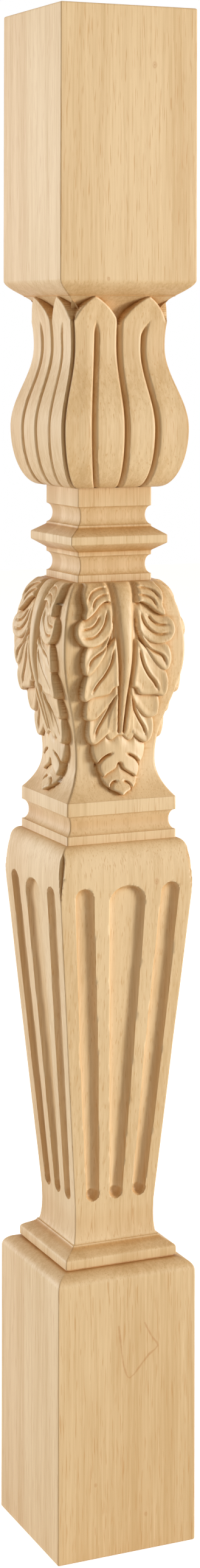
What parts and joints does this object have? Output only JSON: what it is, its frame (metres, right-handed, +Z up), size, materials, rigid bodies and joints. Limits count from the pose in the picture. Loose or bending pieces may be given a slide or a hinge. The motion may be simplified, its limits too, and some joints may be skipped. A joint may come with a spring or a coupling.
{
  "type": "newel post",
  "caption": "Square carved newel post with plain end blocks, a fluted tapering shaft, an acanthus-leaf vase and a petalled bulb.",
  "frame": {"origin": "centre of the underside, on the floor plane", "axes": "+Z up along the post; -Y is the front face and -X the left face of the square section"},
  "size_m": [0.0888, 0.0888, 0.9144],
  "materials": {
    "rubberwood": "bare sanded rubberwood, pale straw to warm tan with fine brown pore streaks, satin"
  },
  "bodies": {
    "root": {"newel_post": "rubberwood"}
  },
  "joints": []
}
